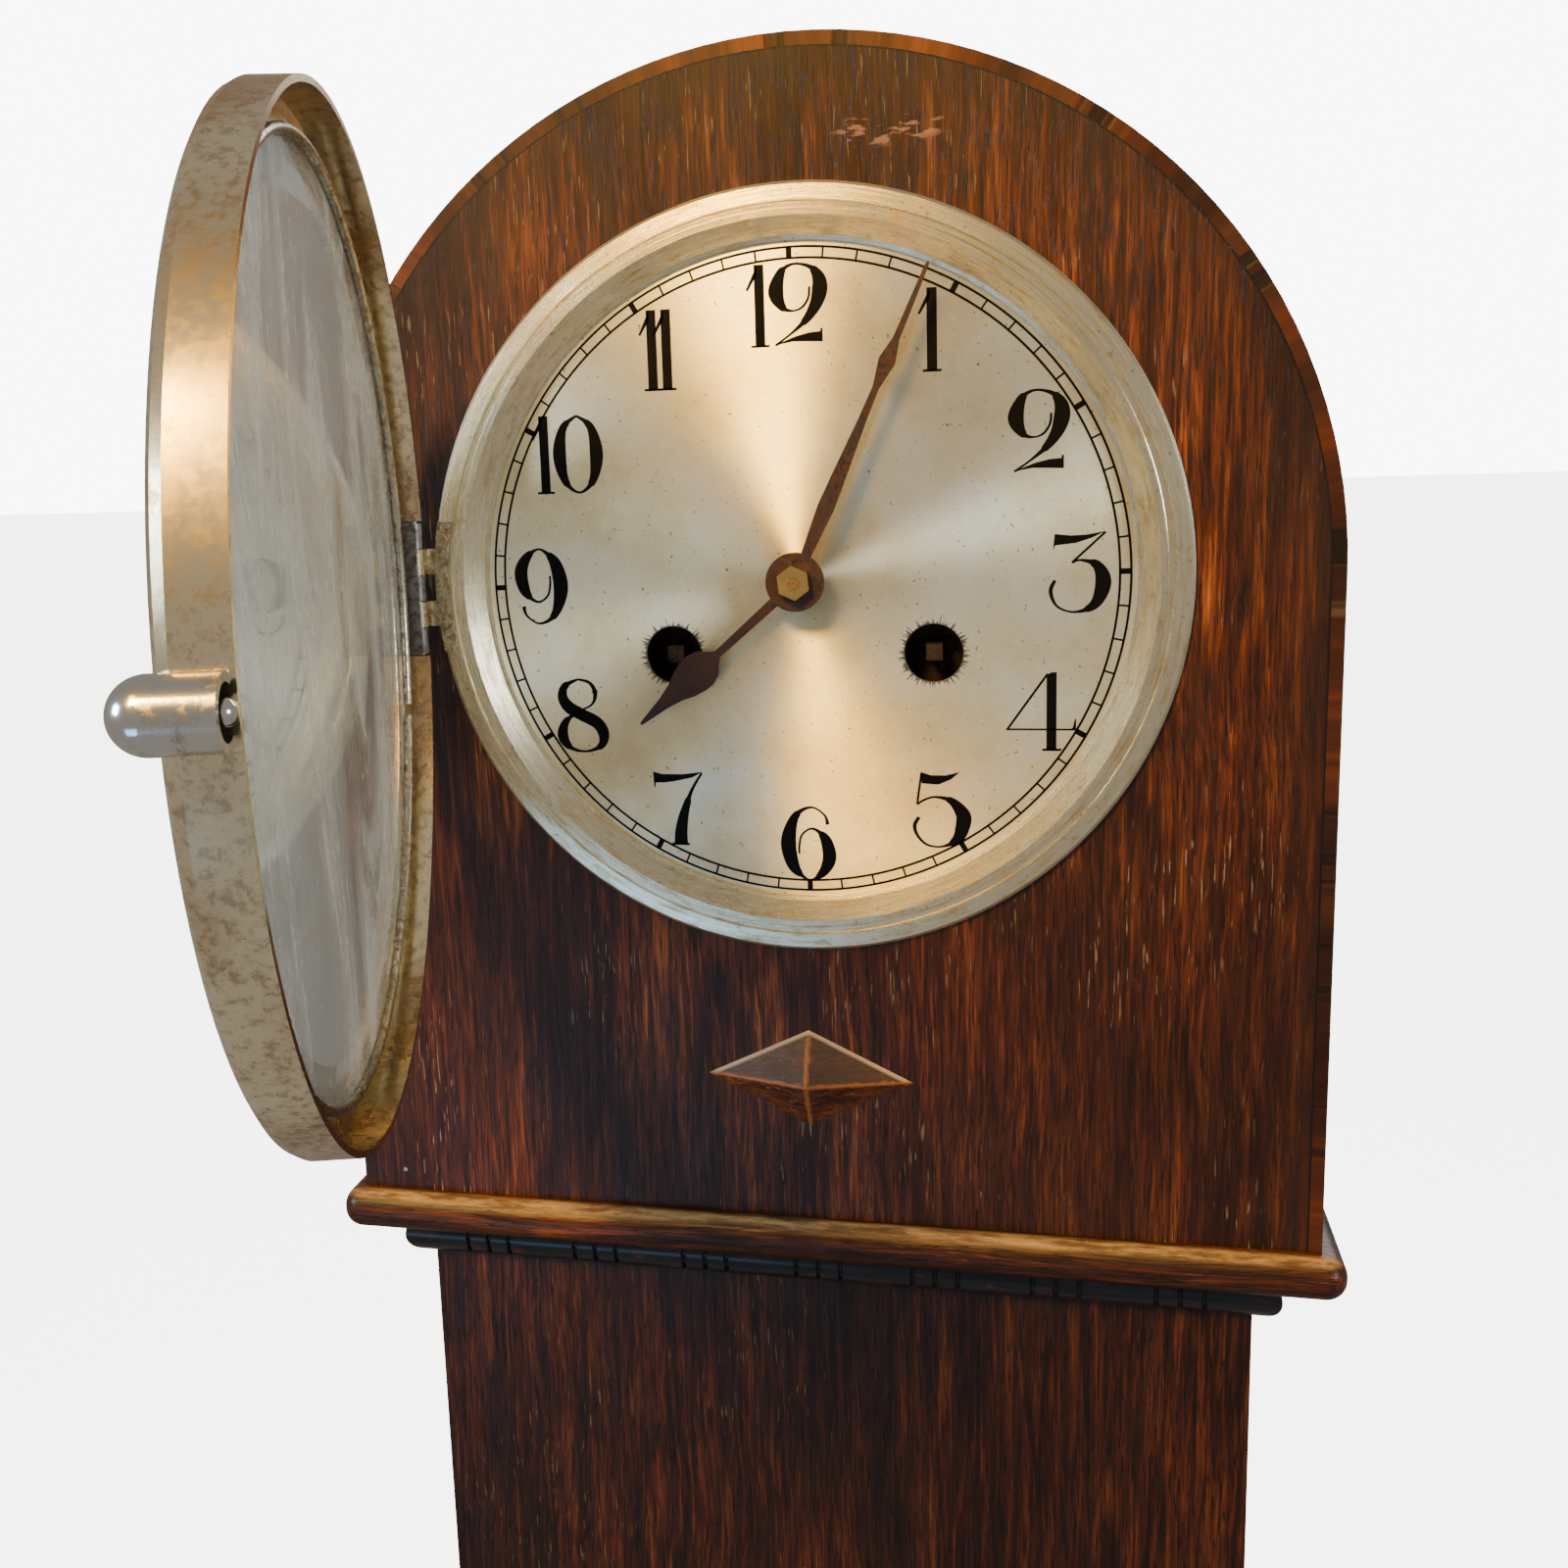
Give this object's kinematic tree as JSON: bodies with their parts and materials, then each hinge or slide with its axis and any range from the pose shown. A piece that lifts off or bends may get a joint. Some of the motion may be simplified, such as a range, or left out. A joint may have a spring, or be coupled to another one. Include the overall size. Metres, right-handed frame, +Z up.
{
  "type": "granddaughter clock",
  "caption": "Dome-topped oak longcase clock of granddaughter size with a round glazed bezel door standing open, silvered dial, spring-driven striking movement and pendulum.",
  "frame": {"origin": "centre of the underside of the base board", "axes": "+Z up, the dial faces -Y, +X to the right when facing the dial"},
  "size_m": [0.288, 0.3843, 1.37],
  "materials": {
    "oak": "dark stained oak, waxed, open grain",
    "oak_ebonised": "ebonised half-round bead",
    "plywood": "stained plywood and softwood, unfinished inside",
    "silvered": "silvered brass, circularly brushed, lacquered",
    "bezel_metal": "tarnished nickelled brass",
    "glass": "bevelled glass, dusty",
    "blued_steel": "blued steel, rusted brown",
    "steel": "bright steel",
    "hinge_steel": "darkened steel",
    "brass": "brushed brass",
    "iron": "black painted casting"
  },
  "bodies": {
    "case": {"back_door_hinges": "brass", "back_plate": "brass", "base_board": "plywood", "bead_front": "oak_ebonised", "bead_left": "oak_ebonised", "bead_right": "oak_ebonised", "bezel_hinge_fixed_leaf": "bezel_metal", "centre_wheel": "brass", "dial": "silvered", "dial_surround": "silvered", "diamond_ornament": "oak", "escape_wheel": "brass", "fly": "brass", "front_plate": "brass", "going_barrel": "brass", "gong_block": "iron", "gong_rods": "steel", "hood_back": "plywood", "hood_front": "oak", "hood_shell": "oak", "plate_nuts": "steel", "plate_pillars": "brass", "plinth_front": "oak", "plinth_left": "oak", "plinth_right": "oak", "ratchet_clicks": "steel", "seat_board": "plywood", "seat_brackets": "steel", "second_wheel": "brass", "strike_barrel": "brass", "strike_pin_wheel": "brass", "strike_third_wheel": "brass", "suspension_cock": "brass", "third_wheel": "brass", "torus_board": "oak", "trunk_back": "plywood", "trunk_front": "oak", "trunk_left": "oak", "trunk_right": "oak"},
    "bezel_door": {"bezel_ring": "bezel_metal", "bezel_glass": "glass", "glass_retaining_ring": "bezel_metal", "bezel_knob": "bezel_metal", "bezel_hinge_door_leaf": "hinge_steel"},
    "minute": {"minute_hand": "blued_steel", "hand_nut": "brass", "cannon_pinion": "brass"},
    "minute_wheel": {"minute_wheel": "brass"},
    "hour": {"hour_hand": "blued_steel", "hour_wheel": "brass"},
    "going_winding": {"going_winding_arbor": "steel"},
    "strike_winding": {"strike_winding_arbor": "steel"},
    "pallets": {"pallets_and_crutch": "steel"},
    "pendulum": {"pendulum_rod": "steel"},
    "bob": {"pendulum_bob": "brass"},
    "rating_nut": {"rating_nut": "brass"},
    "hammer": {"strike_hammer": "brass"},
    "back_door": {"back_door": "plywood", "back_door_leaves": "brass"},
    "turn_button": {"turn_button": "brass"}
  },
  "joints": [
    {"name": "bezel_door_swing", "type": "hinge", "parent": "case", "child": "bezel_door", "pos_m": [-0.1055, -0.0844, 1.2325], "axis": [0, 0, 1], "range_deg": [-34, 74]},
    {"name": "minute_hand_turn", "type": "hinge", "parent": "case", "child": "minute", "pos_m": [0, -0.084, 1.2325], "axis": [0, 1, 0], "continuous": true},
    {"name": "minute_wheel_turn", "type": "hinge", "parent": "case", "child": "minute_wheel", "pos_m": [0.00848, -0.064, 1.24099], "axis": [0, 1, 0], "continuous": true},
    {"name": "hour_hand_turn", "type": "hinge", "parent": "case", "child": "hour", "pos_m": [0, -0.08, 1.2325], "axis": [0, 1, 0], "continuous": true},
    {"name": "going_winding_turn", "type": "hinge", "parent": "case", "child": "going_winding", "pos_m": [0.0355, -0.062, 1.2125], "axis": [0, 1, 0], "continuous": true},
    {"name": "strike_winding_turn", "type": "hinge", "parent": "case", "child": "strike_winding", "pos_m": [-0.0355, -0.062, 1.2125], "axis": [0, 1, 0], "continuous": true},
    {"name": "pallets_swing", "type": "hinge", "parent": "case", "child": "pallets", "pos_m": [0, -0.012, 1.2873], "axis": [0, 1, 0], "range_deg": [-3, 3]},
    {"name": "pendulum_swing", "type": "hinge", "parent": "case", "child": "pendulum", "pos_m": [0, 0.0011, 1.2873], "axis": [0, 1, 0], "range_deg": [-3, 3]},
    {"name": "bob_slide", "type": "slide", "parent": "pendulum", "child": "bob", "axis": [0, 0, 1], "range_m": [-0.002, 0.002]},
    {"name": "rating_nut_turn", "type": "hinge", "parent": "bob", "child": "rating_nut", "pos_m": [0, 0.0011, 1.0613], "axis": [0, 0, 1], "range_deg": [-1080, 1080]},
    {"name": "hammer_lift", "type": "hinge", "parent": "case", "child": "hammer", "pos_m": [-0.05, -0.01, 1.2525], "axis": [0, 1, 0], "range_deg": [-7, 0]},
    {"name": "back_door_swing", "type": "hinge", "parent": "case", "child": "back_door", "pos_m": [-0.085, 0.0839, 1.2325], "axis": [0, 0, 1], "range_deg": [0, 110]},
    {"name": "turn_button_turn", "type": "hinge", "parent": "case", "child": "turn_button", "pos_m": [0.093, 0.0818, 1.2525], "axis": [0, 1, 0], "range_deg": [-90, 90]}
  ],
  "couplings": [
    {"joint": "minute_wheel_turn", "follows": "minute_hand_turn", "ratio": -0.33333},
    {"joint": "hour_hand_turn", "follows": "minute_hand_turn", "ratio": 0.083333},
    {"joint": "pallets_swing", "follows": "pendulum_swing", "ratio": 1},
    {"joint": "rating_nut_turn", "follows": "bob_slide", "rad_per_m": 8976}
  ]
}
